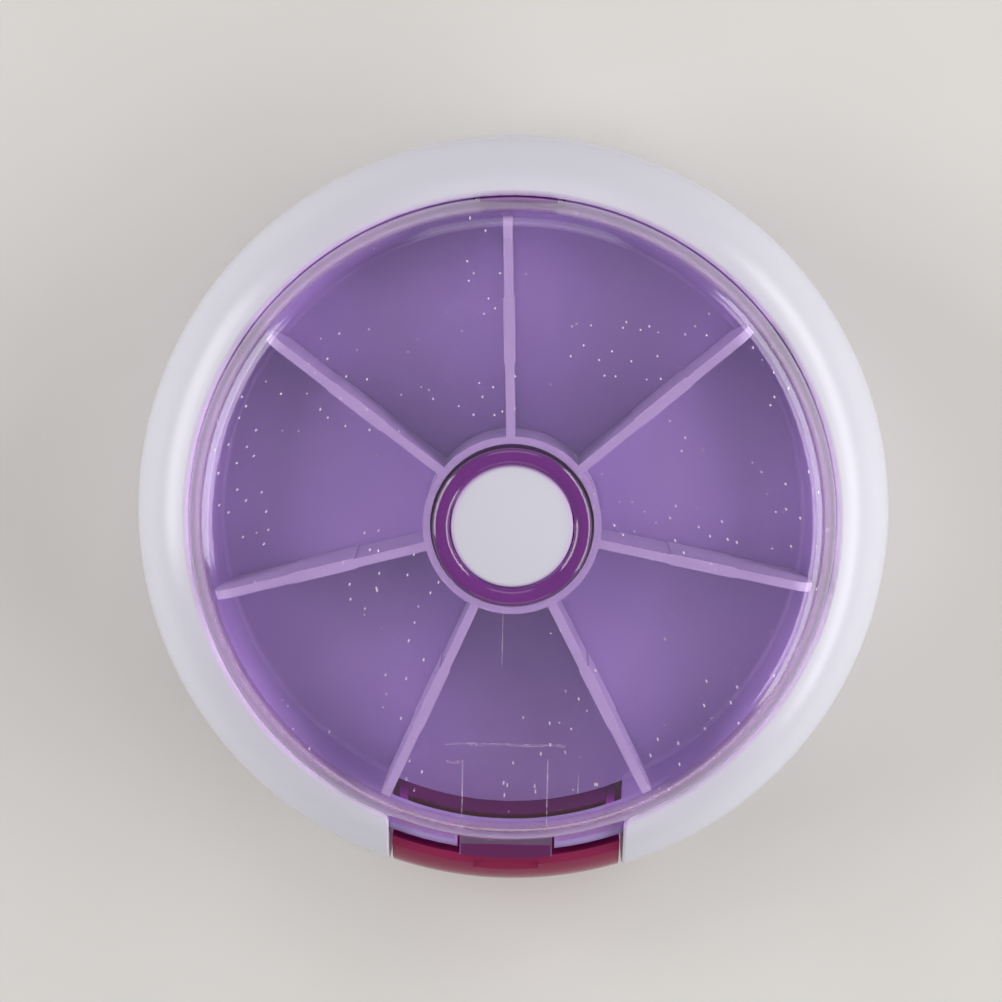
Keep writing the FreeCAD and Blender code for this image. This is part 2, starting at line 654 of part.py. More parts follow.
def make_inner_bowl():
    body = new_piece("inner_bowl")
    flange_round = given.bowl_flange - given.flange_edge
    wall_top = bowl_top_radius - given.bowl_flare * given.bowl_flange / given.bowl_depth + given.bowl_wall
    bowl = revolve(body, "Bowl", [
        line(bowl_bore, bowl_under),
        line(bowl_bottom_radius + given.bowl_wall, bowl_under),
        line(wall_top, flange_under),
        line(flange_radius, flange_under),
        line(flange_radius, bowl_rim - flange_round),
        left(flange_radius - flange_round, bowl_rim, flange_round),
        line(bowl_top_radius, bowl_rim),
        line(bowl_bottom_radius, bowl_floor_top),
        line(bowl_bore, bowl_floor_top),
    ])
    fillet(body, "FloorCorner", bowl, given.bowl_corner,
           lambda edge: is_circle(edge, bowl_bottom_radius, bowl_floor_top))
    window = sector(outlet_half, bowl_bottom_radius - given.bowl_corner, casing_bore, -1)
    extrude(body, "Window", [window], bowl_floor_top, flange_under, cut=True)
    sill = sector(outlet_half, bowl_bottom_radius + given.sill_reach, casing_bore, -1)
    extrude(body, "Sill", [sill], bowl_under, bowl_floor_top, cut=True)
    tongue_room = sector(given.tongue_half + given.tongue_gap, tongue_bore - given.hook_gap, ring_bore, -1)
    extrude(body, "TongueRoom", [tongue_room], flange_under, bowl_rim, cut=True)
    hook_room = sector(given.hook_half + given.tongue_gap, hook_bore - given.hook_gap,
                       hook_radius + given.hook_gap, 1)
    hook_floor = lid_foot - given.hook_drop - given.hook_gap
    extrude(body, "HookRoom", [hook_room], hook_floor, bowl_rim, cut=True)
    return body


# Bezel ring: rounded and hollow, open at the outlet

def make_bezel_ring():
    body = new_piece("bezel_ring")
    crest_radius = crown_centre + (crown_curve - crest_run) * crown_share
    crest_level = belly_level + crest_rise * crown_share
    revolve(body, "Ring", [
        line(ring_bore, given.base_rim),
        line(ring_foot_radius, given.base_rim),
        left(ring_radius, belly_level, low_curve),
        left(crest_radius, crest_level, crown_curve),
        left(lip_radius, lip_centre, given.lip_round),
        line(lip_radius, lip_under),
        line(ring_bore, lip_under),
    ])
    far_side = ring_radius + given.ring_width
    round_across = ring_gap_half + given.ring_end_round
    round_up = chord_reach(lip_radius + given.ring_end_round, round_across)
    round_share = lip_radius / (lip_radius + given.ring_end_round)
    opening = [
        line(-ring_gap_half, -far_side),
        line(ring_gap_half, -far_side),
        line(ring_gap_half, -round_up),
        right(round_across * round_share, -round_up * round_share, given.ring_end_round),
        line(round_across * round_share, -foot_radius),
        line(-round_across * round_share, -foot_radius),
        line(-round_across * round_share, -round_up * round_share),
        right(-ring_gap_half, -round_up, given.ring_end_round),
    ]
    gap = extrude(body, "Gap", [opening], given.base_rim, lid_top, cut=True)

    def is_ring_end(edge):
        middle = edge.valueAt((edge.FirstParameter + edge.LastParameter) / 2)
        on_end = all(
            abs(abs(point.x) - ring_gap_half.number) < EDGE_TOLERANCE
            for point in (edge.Vertexes[0].Point, middle, edge.Vertexes[-1].Point)
        )
        return on_end and not isinstance(edge.Curve, Part.Line)

    fillet(body, "GapEdge", gap, given.ring_end_edge, is_ring_end)
    rim_top = given.base_rim + given.ring_wall
    inner_low = low_curve - given.ring_wall
    inner_crown = crown_curve - given.ring_wall
    hollow_roof = belly_level + chord_reach(inner_crown, ring_bore - crown_centre)
    hollow_angle = TOTAL_TURN - 2 * angle_of((ring_gap_half + given.ring_end_wall) / ring_bore)
    revolve(body, "Hollow", [
        line(casing_radius, rim_top),
        line(low_centre + chord_reach(inner_low, belly_level - rim_top), rim_top),
        left(ring_radius - given.ring_wall, belly_level, inner_low),
        left(ring_bore, hollow_roof, inner_crown),
        line(casing_radius, hollow_roof),
    ], plane="YZ_Plane", angle=hollow_angle, cut=True)
    socket_end = pin_end + given.pin_end_gap
    socket = (-hinge_radius, hinge_level, given.pin_radius + given.pin_fit)
    extrude(body, "Sockets", [socket], -socket_end, socket_end, plane="YZ_Plane", cut=True)
    return body


# Lid: thin cover with a collar round the button, a hook at the back and a tongue at the front

def make_lid():
    body = new_piece("lid")
    bend_start = lid_bore - given.lid_corner
    crest = radius_through(given.collar_crest, given.collar_wall / 2)
    revolve(body, "Cover", [
        line(collar_bore, lid_under - given.collar_depth),
        line(collar_radius, lid_under - given.collar_depth),
        line(collar_radius, lid_under),
        line(bend_start, lid_under),
        right(lid_bore, lid_under - given.lid_corner, given.lid_corner),
        line(lid_bore, lid_foot),
        line(lid_radius, lid_foot),
        line(lid_radius, lid_under - given.lid_corner),
        left(bend_start, lid_top, given.lid_corner + given.lid_wall),
        line(collar_radius, lid_top),
        left(collar_bore, lid_top, crest),
    ])
    foot_top = lid_foot + given.foot_height
    foot = sector(given.flap_half, lid_root, lid_foot_radius, -1)
    extrude(body, "Foot", [foot], lid_foot, foot_top)
    slots = sector(given.tongue_half + given.tongue_relief, lid_radius, tongue_radius, -1)
    extrude(body, "Relief", [slots], lid_foot, foot_top, cut=True)
    tongue_root = sector(given.tongue_half, lid_root, tongue_radius, -1)
    extrude(body, "TongueRoot", [tongue_root], lid_foot, foot_top)
    tongue = sector(given.tongue_half, tongue_bore, tongue_radius, -1)
    extrude(body, "Tongue", [tongue], lid_foot - given.tongue_drop, lid_foot)
    hook = sector(given.hook_half, hook_bore, hook_radius, 1)
    extrude(body, "Hook", [hook], lid_foot - given.hook_drop, lid_foot + given.hook_root)
    return body


# Wheel: journal, hub and dividers

def make_vane_wheel():
    body = new_piece("vane_wheel", given.index_phase)
    web_level = wheel_bottom + given.hub_web
    groove_radius = cam_bore + given.bead_rise
    revolve(body, "Hub", [
        line(cam_bore, journal_bottom),
        line(journal_radius, journal_bottom),
        line(journal_radius, wheel_bottom),
        line(hub_radius, wheel_bottom),
        line(hub_radius, wheel_top),
        line(hub_bore, wheel_top),
        line(hub_bore, web_level),
        line(cam_bore, web_level),
        line(cam_bore, bead_top + given.cam_ring_fit),
        line(groove_radius, bead_top + given.cam_ring_fit),
        line(groove_radius, bead_bottom - given.cam_ring_fit),
        line(cam_bore, bead_bottom - given.cam_ring_fit),
    ])
    hub_middle = hub_bore + given.hub_wall / 2
    corner_start = given.wheel_radius - given.vane_corner
    vane = extrude(body, "Vane", [[
        line(hub_middle, wheel_bottom),
        line(bowl_bottom_radius - given.vane_gap, wheel_bottom),
        line(given.wheel_radius, lid_foot),
        line(given.wheel_radius, wheel_top - given.vane_corner),
        left(corner_start, wheel_top, given.vane_corner),
        line(hub_middle, wheel_top),
    ]], -given.vane_thickness / 2, given.vane_thickness / 2, plane="YZ_Plane")
    band_start = hub_radius + given.vane_band_start
    band = extrude(body, "VaneBand", [
        rectangle(band_start, band_start + given.vane_band_length, wheel_bottom, wheel_top),
    ], -given.vane_band_thickness / 2, given.vane_band_thickness / 2, plane="YZ_Plane")
    pattern(body, "Vanes", [vane, band])
    return body


# Cam ring: seven sloping notches, held in the journal of the wheel by a snap bead

def cut_wedges(body, name, land, steep_side, level_wide, level_point):
    """Cut one sloping notch per compartment, wide at one level and closed at the other.

    The closed end lies towards the steep side: 1 for counterclockwise seen from above, else -1.
    """
    edge = half_pitch - land / 2
    wide = tangent(edge)
    point = tangent(edge - given.tooth_back) * steep_side
    sketches = []
    for end, radius in (("Inner", given.spindle_radius), ("Outer", journal_radius)):
        sketch = new_sketch(body, name + end, "XZ_Plane", radius)
        draw(sketch, [[
            line(-radius * wide, level_wide),
            line(radius * wide, level_wide),
            line(radius * point, level_point),
        ]])
        sketches.append(sketch)
    wedge = body.newObject("PartDesign::SubtractiveLoft", name)
    wedge.Profile = sketches[0]
    wedge.Sections = [(sketches[1], [""])]
    wedge.Ruled = True
    return pattern(body, name + "Round", [wedge])


def make_cam_ring():
    body = new_piece("cam_ring", given.index_phase)
    notch_depth = given.press_stroke - given.tooth_gap + given.tooth_relief
    bead_radius = cam_ring_radius + given.bead_rise
    revolve(body, "Ring", [
        line(shelf_bore, journal_bottom),
        line(cam_ring_radius, journal_bottom),
        line(cam_ring_radius, bead_bottom),
        line(bead_radius, bead_bottom + given.bead_rise),
        line(bead_radius, bead_top - given.bead_rise),
        line(cam_ring_radius, bead_top),
        line(cam_ring_radius, shelf_top),
        line(shelf_bore, shelf_top),
    ])
    cut_wedges(body, "Notch", given.notch_land, -1, shelf_top, shelf_top - notch_depth)
    return body


# Cam sleeve: seven teeth below a web that slides on the spindle

def make_cam_sleeve():
    body = new_piece("cam_sleeve", sleeve_phase)
    revolve(body, "Skirt", [
        line(skirt_bore, tooth_bottom),
        line(cam_radius, tooth_bottom),
        line(cam_radius, web_top),
        line(skirt_bore, web_top),
    ])
    cut_wedges(body, "Tooth", given.tooth_tip, 1, tooth_bottom, tooth_root)
    revolve(body, "Web", [
        line(sleeve_bore, web_under),
        line(skirt_bore, web_under),
        line(skirt_bore, web_top),
        line(tube_radius, web_top),
        line(tube_radius, web_top + given.tube_height),
        line(tube_radius - given.tube_wall, web_top + given.tube_height),
        line(tube_radius - given.tube_wall, web_top),
        line(sleeve_bore, web_top),
    ])
    key_half = given.rib_half + given.key_gap
    key_reach = rib_radius + given.key_gap
    keyway = rectangle(-key_reach, key_reach, -key_half, key_half)
    extrude(body, "Keyway", [keyway], web_under, web_top, cut=True, phase=key_phase)
    return body


# Button cap: domed cup on the sleeve

def make_button_cap():
    body = new_piece("button_cap")
    face_radius = given.button_radius - given.button_edge
    revolve(body, "Cup", [
        line(cap_bore, web_top),
        line(given.button_radius, web_top),
        line(given.button_radius, button_edge_level - given.button_edge),
        left(face_radius, button_edge_level, given.button_edge),
        left(0, button_top, radius_through(given.button_dome, face_radius)),
        line(0, button_top - given.cap_ceiling),
        line(cap_bore, button_top - given.cap_ceiling),
    ])
    return body


# Retaining clip: open ring in the neck of the spindle

def make_retaining_clip():
    body = new_piece("retaining_clip")
    mouth = clip_bore - given.clip_snap
    near = chord_reach(clip_bore, mouth)
    far = chord_reach(clip_radius, mouth)
    ring = [
        line(mouth, -far),
        left(0, clip_radius, clip_radius),
        left(-mouth, -far, clip_radius),
        line(-mouth, -near),
        right(0, clip_bore, clip_bore),
        right(mouth, -near, clip_bore),
    ]
    extrude(body, "Clip", [ring], clip_under, clip_top)
    return body


# Index star and the spring strip that clicks into it

def make_index_star():
    body = new_piece("index_star", given.index_phase)
    extrude(body, "Star", [(0, 0, star_radius), (0, 0, star_bore)], star_bottom, star_top)
    notch_place = star_radius - given.star_notch_depth + given.star_notch
    notch = extrude(body, "Detent", [(0, notch_place, given.star_notch)], star_bottom, star_top, cut=True)
    pattern(body, "Detents", [notch])
    return body


def make_index_spring():
    body = new_piece("index_spring", given.index_phase)
    half = given.leaf_half_length
    outer_face = leaf_face + given.leaf_thickness
    bump_curve = radius_through(given.bump_rise, given.bump_half)
    inner_curve = bump_curve - given.leaf_thickness
    centre_rise = bump_curve - given.bump_rise
    inner_half = chord_reach(inner_curve, centre_rise - given.leaf_thickness)
    strip = [
        line(-half, leaf_face),
        line(-given.bump_half, leaf_face),
        left(given.bump_half, leaf_face, bump_curve),
        line(half, leaf_face),
        line(half, outer_face),
        line(inner_half, outer_face),
        right(-inner_half, outer_face, inner_curve),
        line(-half, outer_face),
    ]
    extrude(body, "Strip", [strip], star_bottom, star_top)
    return body


# Outlet flap: inner plate, outer skin, hinge and scoop

def make_outlet_flap():
    body = new_piece("outlet_flap")
    top_radius = flap_top_bore + given.flap_ridge
    crown = radius_through(flap_belly - top_radius, flap_top - belly_level)
    low = low_curve - given.flap_inset
    plate_slope = given.flap_lean / (flap_top - scoop_under)

    def plate_back(level):
        """Outer face of the inner plate at a level."""
        return flap_bore + given.flap_wall + plate_slope * (level - scoop_under)

    sweep = 2 * angle_of((given.flap_half + given.trim_allowance) / flap_bore)
    revolve(body, "Section", flip([
        line(flap_bore, scoop_under),
        line(flap_bore + given.flap_wall, scoop_under),
        line(plate_back(skin_bottom), skin_bottom),
        line(low_centre + chord_reach(low, belly_level - skin_bottom), skin_bottom),
        left(flap_belly, belly_level, low),
        left(top_radius, flap_top, crown),
        line(flap_top_bore, flap_top),
    ]), plane="YZ_Plane", angle=sweep)
    inner_crown = crown - given.flap_skin
    inner_low = low - given.flap_skin
    hollow_radius = flap_belly - crown + chord_reach(inner_crown, hollow_top - belly_level)
    cheek_angle = 2 * angle_of((given.flap_half - given.flap_cheek) / (flap_belly - given.flap_skin))
    revolve(body, "Hollow", flip([
        line(plate_back(skin_bottom), skin_bottom),
        line(low_centre + chord_reach(inner_low, belly_level - skin_bottom), skin_bottom),
        left(flap_belly - given.flap_skin, belly_level, inner_low),
        left(hollow_radius, hollow_top, inner_crown),
        line(plate_back(hollow_top), hollow_top),
    ]), plane="YZ_Plane", angle=cheek_angle, cut=True)
    trims = [
        rectangle(given.flap_half, ring_radius, -ring_radius, 0),
        rectangle(-ring_radius, -given.flap_half, -ring_radius, 0),
    ]
    extrude(body, "Ends", trims, given.base_rim, lid_top, cut=True)
    nail_start = flap_top_bore + given.nail_ridge
    nail = rectangle(-given.nail_half, given.nail_half, -ring_radius, -nail_start)
    extrude(body, "NailNotch", [nail], flap_top - given.nail_depth, lid_top, cut=True)
    plate_middle = flap_bore + given.flap_wall / 2
    floor_end = chord_reach(plate_middle, scoop_half)
    scoop_start = hinge_radius - scoop_reach
    floor = [
        line(-scoop_half, -floor_end),
        left(scoop_half, -floor_end, plate_middle),
        line(scoop_half, -scoop_start),
        line(-scoop_half, -scoop_start),
    ]
    extrude(body, "ScoopFloor", [floor], scoop_under, scoop_under + given.scoop_floor)
    side = [
        line(-hinge_radius, scoop_under),
        line(-scoop_start, scoop_under),
        line(-scoop_start, hinge_level),
        left(-hinge_radius, hinge_level + scoop_reach, scoop_reach),
    ]
    scoop_wall = extrude(body, "ScoopSide", [side], scoop_half - given.scoop_side, scoop_half,
                         plane="YZ_Plane")
    ear = extrude(body, "Ear", [(-hinge_radius, hinge_level, given.ear_radius)],
                  given.flap_half - given.ear_width, given.flap_half, plane="YZ_Plane")
    pin = extrude(body, "Pin", [(-hinge_radius, hinge_level, given.pin_radius)],
                  given.flap_half - given.ear_width, pin_end, plane="YZ_Plane")
    mirror(body, "OtherSide", [scoop_wall, ear, pin])
    return body


# Return spring: one unbroken wire, each quarter turn two arcs that meet smoothly

def quarter_arcs(start, end, start_way, end_way):
    """Two arcs from start to end with the given directions at their ends."""
    chord = end - start
    ways = start_way + end_way
    spread = 2 * (1 - start_way.dot(end_way))
    reach = (-chord.dot(ways) + math.sqrt(chord.dot(ways) ** 2 + spread * chord.dot(chord))) / spread
    joint = (start + end + (start_way - end_way) * reach) / 2
    return [
        arc_from(start, start_way, joint),
        arc_to(joint, end, end_way),
    ]


def arc_from(start, way, end):
    """Arc that leaves its start in the given direction."""
    chord = end - start
    side = chord - way * chord.dot(way)
    radius = chord.dot(chord) / (2 * side.Length)
    centre = start + side / side.Length * radius
    bisector = start + end - centre * 2
    return Part.Arc(start, centre + bisector / bisector.Length * radius, end).toShape()


def arc_to(start, end, way):
    """Arc that arrives at its end in the given direction."""
    chord = start - end
    side = chord - way * chord.dot(way)
    radius = chord.dot(chord) / (2 * side.Length)
    centre = end + side / side.Length * radius
    bisector = start + end - centre * 2
    return Part.Arc(start, centre + bisector / bisector.Length * radius, end).toShape()


def make_return_spring():
    quarters_per_turn = 4
    radius = spring_radius.number
    wire = sheet.get("spring_wire")
    turns = int(sheet.get("spring_turns"))
    low = floor_top.number + sheet.get("spring_seat") + wire / 2
    high = web_under.number - sheet.get("spring_seat") - wire / 2
    pitch = (high - low) / turns
    slope = pitch / (2 * math.pi)

    def place(turn):
        angle = 2 * math.pi * turn
        return Vector(radius * math.cos(angle), radius * math.sin(angle), low + pitch * turn)

    def way(turn):
        angle = 2 * math.pi * turn
        direction = Vector(-radius * math.sin(angle), radius * math.cos(angle), slope)
        return direction / direction.Length

    edges = []
    for quarter in range(turns * quarters_per_turn):
        start = quarter / quarters_per_turn
        end = (quarter + 1) / quarters_per_turn
        edges += quarter_arcs(place(start), place(end), way(start), way(end))
    path = Part.Wire(edges)
    profile = Part.Wire([Part.Circle(place(0), way(0), wire / 2).toShape()])
    spring = document.addObject("Part::Feature", "return_spring")
    spring.Label = "return_spring"
    spring.Shape = path.makePipeShell([profile], True, False)
    spring.Placement = FreeCAD.Placement(Vector(), FreeCAD.Rotation(Vector(0, 0, 1), 0))

    samples = path.discretize(turns * 48)
    nearest = min(
        first.distanceToPoint(second)
        for index, first in enumerate(samples)
        for second in samples[index + 24:]
    )
    section = math.pi * (wire / 2) ** 2
    print(f"return_spring least gap {nearest - wire:.3f} mm")
    print(f"return_spring volume {spring.Shape.Volume:.3f}, wire times length {section * path.Length:.3f}")
    return spring


# The whole organizer

pieces = [
    make_base_shell(),
    make_inner_bowl(),
    make_bezel_ring(),
    make_lid(),
    make_vane_wheel(),
    make_cam_ring(),
    make_cam_sleeve(),
    make_button_cap(),
    make_retaining_clip(),
    make_index_star(),
    make_index_spring(),
    make_outlet_flap(),
    make_return_spring(),
]
document.recompute()

for item in document.Objects:
    if "Invalid" in item.State or "Error" in item.State:
        raise RuntimeError(f"{item.Name} is {item.State}")
    if item.TypeId in ("PartDesign::Pocket", "PartDesign::Groove", "PartDesign::SubtractiveLoft"):
        if item.Shape.Volume > item.BaseFeature.Shape.Volume - MINIMUM_CUT:
            raise RuntimeError(f"{item.Name} cuts nothing")

os.makedirs("parts", exist_ok=True)
for piece in pieces:
    shape = piece.Shape
    if shape.isNull() or not shape.isValid():
        raise RuntimeError(f"{piece.Label} has no valid shape")
    if len(shape.Solids) != 1:
        raise RuntimeError(f"{piece.Label} has {len(shape.Solids)} solids")
    shape.exportStep(f"parts/{piece.Label}.step")
    box = shape.BoundBox
    print(f"{piece.Label}: volume {shape.Volume:.1f}, z {box.ZMin:.2f} to {box.ZMax:.2f}")
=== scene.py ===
import math

import bpy
from mathutils import Matrix, Vector

# Looks of the rotating weekly pill organizer, in metres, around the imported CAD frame.

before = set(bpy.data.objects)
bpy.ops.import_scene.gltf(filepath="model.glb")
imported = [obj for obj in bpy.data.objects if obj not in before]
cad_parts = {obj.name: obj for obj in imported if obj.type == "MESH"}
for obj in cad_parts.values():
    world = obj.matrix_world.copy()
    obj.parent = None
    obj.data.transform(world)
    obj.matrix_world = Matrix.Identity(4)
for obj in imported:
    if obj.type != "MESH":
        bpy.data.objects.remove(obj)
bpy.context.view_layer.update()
MM = 0.001

# Zones of the lid in millimetres, each from where it starts to fade to where the fading ends
COLLAR_RADIUS = (9.0, 9.3)
BLUR_RADIUS = (35.6, 36.7)
# Painted highlight: radii of the whitened band on the lid's shoulder
SHOULDER_HIGHLIGHT_RADIUS = (36.3, 36.9)
FOOT_RADIUS = (38.0, 38.3)
FOOT_LEVEL = (18.55, 18.65)
TONGUE_HALF_WIDTH = (5.3, 5.4)
TONGUE_FRONT = (-38.95, -38.85)
HOOK_HALF_WIDTH = (4.4, 4.6)
HOOK_BACK = (37.2, 37.5)
MIDDLE = (-1.0, 1.0)

# How much each zone of the lid scatters, as a share of its light
COLLAR_DYE = 0.42
FRONT_FOOT_DYE = 0.1
BACK_FOOT_DYE = 0.6
SNAP_DYE = 0.6
# Painted shade: the tongue's share darkens it like the shaded crevice behind it
TONGUE_SHADE = 0.85
HOOK_DYE = 0.42
# Painted highlight: whitened share of the band on the lid's shoulder
SHOULDER_HIGHLIGHT = 0.16
DUST = 0.7
SCRATCH = 0.2
SHOULDER_ROUGHNESS = 0.4

# Fine lines on the lid: axis along, axis across (0 is x, 1 is y), start, end, place and width in millimetres
MARKS = [
    (0, 1, -7.2, 6.7, -25.75, 0.10),
    (0, 1, -7.2, -5.3, -27.9, 0.08),
    (1, 0, -38.6, -27.8, -5.2, 0.09),
    (1, 0, -38.6, -27.6, 4.75, 0.09),
    (1, 0, -31.25, -29.3, 8.35, 0.08),
    (1, 0, -16.45, -10.2, -0.85, 0.07),
]

# The flap's skirt lies beyond these radii in millimetres, and its scoop within them
SKIRT_RADIUS = (38.4, 39.4)

# Where the lid rubs on the dividers: colour, share, level and radii in millimetres
SCUFF_COLOUR = (0.16, 0.11, 0.24)
SCUFF_SHARE = 0.75
SCUFF_LEVEL = (23.8, 23.9)
SCUFF_INNER_RADIUS = (18.8, 19.8)
SCUFF_OUTER_RADIUS = (25.5, 26.5)

# Lamps: place, width and height in metres, and how many times as bright as a plain white page
LAMPS = {
    "softbox_back": ((0.0, 0.85, 0.75), 0.7, 0.35, 1.5),
    "softbox_front": ((0.0, -0.8, 0.42), 0.8, 0.24, 1.0),
    "softbox_left": ((-0.66, 0.10, 0.33), 0.6, 0.30, 5.8),
    "softbox_right": ((0.66, 0.02, 0.33), 1.2, 0.24, 6.0),
}
LAMP_TARGET = Vector((0, 0, 0.015))
WORLD_COLOUR = (1.0, 0.99, 1.0)
WORLD_STRENGTH = 0.32
TABLE_REACH = 3.0

# The photograph's camera, fitted to its rims: pixels, degrees, and millimetres in the frame
IMAGE_PIXELS = 1002
FOCAL_PIXELS = 3061
CAMERA_BACK = (0.008842, 0.124769, 1.0)
CAMERA_ROLL = 1.2232
CAMERA_TARGET = (-1.4564, 1.2949, 11.5)
CAMERA_DISTANCE = 367.8
SENSOR_WIDTH = 36


# Node helpers

def new_material(name):
    material = bpy.data.materials.new(name)
    material.use_nodes = True
    material.node_tree.nodes.clear()
    return material


def add(material, kind, **values):
    """Add a node and set its sockets by name, or its own properties where no socket has that name."""
    node = material.node_tree.nodes.new(kind)
    for name, value in values.items():
        socket = name.replace("_", " ")
        if socket in node.inputs:
            node.inputs[socket].default_value = value
        else:
            setattr(node, name, value)
    return node


def join(material, source, target):
    material.node_tree.links.new(source, target)


def noise(material, size, detail=2.0, roughness=0.5, distortion=0.0):
    """Noise whose lumps are about this many millimetres across."""
    place = add(material, "ShaderNodeTexCoord")
    node = add(material, "ShaderNodeTexNoise", Scale=1 / (size * MM), Detail=detail, Roughness=roughness,
               Distortion=distortion)
    join(material, place.outputs["Object"], node.inputs["Vector"])
    return node.outputs["Fac"]


def ramp(material, source, stops):
    """Colour ramp from (place, colour) pairs, where a bare number is a grey."""
    node = add(material, "ShaderNodeValToRGB")
    join(material, source, node.inputs["Fac"])
    elements = node.color_ramp.elements
    while len(elements) < len(stops):
        elements.new(0.5)
    for element, (place, colour) in zip(elements, stops):
        element.position = place
        element.color = (colour, colour, colour, 1) if isinstance(colour, (int, float)) else (*colour, 1)
    return node.outputs["Color"]


def bump(material, source, height, before=None):
    """Bump of this many millimetres."""
    node = add(material, "ShaderNodeBump", Strength=1.0, Distance=height * MM)
    join(material, source, node.inputs["Height"])
    if before is not None:
        join(material, before, node.inputs["Normal"])
    return node.outputs["Normal"]


def combine(material, operation, *values):
    """Math on one or two values, or on more of them one after another."""
    *before, last = values
    if len(before) > 1:
        before = [combine(material, operation, *before)]
    node = add(material, "ShaderNodeMath", operation=operation)
    for socket, value in zip(node.inputs, (*before, last)):
        if isinstance(value, (int, float)):
            socket.default_value = value
        else:
            join(material, value, socket)
    return node.outputs[0]


def between(material, source, low, high, at_low, at_high):
    """Value that goes smoothly from one to another while the source goes from low to high."""
    node = add(material, "ShaderNodeMapRange", interpolation_type="SMOOTHSTEP")
    for socket, value in (("From Min", low), ("From Max", high), ("To Min", at_low), ("To Max", at_high)):
        node.inputs[socket].default_value = value
    join(material, source, node.inputs["Value"])
    return node.outputs["Result"]


def zone(material, source, edge, at_low, at_high):
    """The same, for a distance and an edge in millimetres."""
    return between(material, source, edge[0] * MM, edge[1] * MM, at_low, at_high)


def place_of(material):
    """The three coordinates of a point, in metres."""
    place = add(material, "ShaderNodeTexCoord")
    split = add(material, "ShaderNodeSeparateXYZ")
    join(material, place.outputs["Object"], split.inputs["Vector"])
    return split.outputs["X"], split.outputs["Y"], split.outputs["Z"]


def radius_of(material):
    """Distance from the turning axis, in metres."""
    place = add(material, "ShaderNodeTexCoord")
    flat = add(material, "ShaderNodeVectorMath", operation="MULTIPLY")
    flat.inputs[1].default_value = (1, 1, 0)
    join(material, place.outputs["Object"], flat.inputs[0])
    length = add(material, "ShaderNodeVectorMath", operation="LENGTH")
    join(material, flat.outputs["Vector"], length.inputs[0])
    return length.outputs["Value"]


def finish_material(material, shader, volume=None):
    output = add(material, "ShaderNodeOutputMaterial")
    join(material, shader, output.inputs["Surface"])
    if volume is not None:
        join(material, volume, output.inputs["Volume"])
    return material


# Materials

def scuffed(material, colour):
    """The colour with dark scuffs on the dividers' top edges, where the lid rubs."""
    x, y, z = place_of(material)
    radius = radius_of(material)
    rubbed = combine(material, "MULTIPLY",
                     between(material, noise(material, 0.9, 5.0, 0.7, 1.5), 0.60, 0.66, 0.0, SCUFF_SHARE),
                     zone(material, z, SCUFF_LEVEL, 0.0, 1.0),
                     zone(material, radius, SCUFF_INNER_RADIUS, 0.0, 1.0),
                     zone(material, radius, SCUFF_OUTER_RADIUS, 1.0, 0.0))
    mixed = add(material, "ShaderNodeMix", data_type="RGBA")
    factor, first, second = mixed.inputs["Factor"], mixed.inputs[6], mixed.inputs[7]
    join(material, rubbed, factor)
    join(material, colour, first)
    second.default_value = (*SCUFF_COLOUR, 1)
    return mixed.outputs[2]


def moulded_plastic(name, pale, deep, rough, subsurface=0.0, grain=0.0, scuffs=False):
    """Moulded opaque plastic: slow flow shading between two colours, uneven gloss, and an orange peel."""
    material = new_material(name)
    shader = add(material, "ShaderNodeBsdfPrincipled", IOR=1.49, Subsurface_Weight=subsurface,
                 Subsurface_Scale=1.2 * MM)
    shader.inputs["Subsurface Radius"].default_value = (1.0, 0.8, 1.0)
    flow = noise(material, 9.0, 3.0, 0.55, 0.6)
    colour = ramp(material, flow, [(0.3, deep), (0.7, pale)])
    if scuffs:
        colour = scuffed(material, colour)
    join(material, colour, shader.inputs["Base Color"])
    gloss = noise(material, 1.3, 4.0, 0.6)
    join(material, ramp(material, gloss, [(0.35, rough[0]), (0.7, rough[1])]), shader.inputs["Roughness"])
    if grain:
        peel = bump(material, noise(material, 0.9, 2.0), grain)
        join(material, bump(material, noise(material, 4.5, 1.0), grain * 3, peel), shader.inputs["Normal"])
    return finish_material(material, shader.outputs["BSDF"])


def clear_plastic(name, tint, density, lamp_tint, ior, rough, grain, coat, blur=False):
    """Clear tinted plastic, and its shader for the dye: its depth of colour comes from its thickness, and
    lamps shine through it. coat is the weight and roughness of its gloss, and blur roughens the shoulder."""
    material = new_material(name)
    glass = add(material, "ShaderNodeBsdfPrincipled", Transmission_Weight=1.0, IOR=ior, Coat_Weight=coat[0],
                Coat_IOR=1.5, Coat_Roughness=coat[1])
    gloss = between(material, noise(material, 1.7, 4.0, 0.6), 0.4, 0.75, *rough)
    if blur:
        shoulder = zone(material, radius_of(material), BLUR_RADIUS, 0.0, SHOULDER_ROUGHNESS)
        gloss = combine(material, "MAXIMUM", gloss, shoulder)
    join(material, gloss, glass.inputs["Roughness"])
    peel = bump(material, noise(material, 3.0, 2.0), grain)
    join(material, peel, glass.inputs["Normal"])
    join(material, peel, glass.inputs["Coat Normal"])
    lamps = add(material, "ShaderNodeBsdfTransparent")
    lamps.inputs["Color"].default_value = (*lamp_tint, 1)
    path = add(material, "ShaderNodeLightPath")
    mix = add(material, "ShaderNodeMixShader")
    join(material, path.outputs["Is Shadow Ray"], mix.inputs[0])
    join(material, glass.outputs["BSDF"], mix.inputs[1])
    join(material, lamps.outputs["BSDF"], mix.inputs[2])
    depth = add(material, "ShaderNodeVolumeAbsorption", Density=density)
    depth.inputs["Color"].default_value = (*tint, 1)
    finish_material(material, mix.outputs["Shader"], depth.outputs["Volume"])
    return material, glass


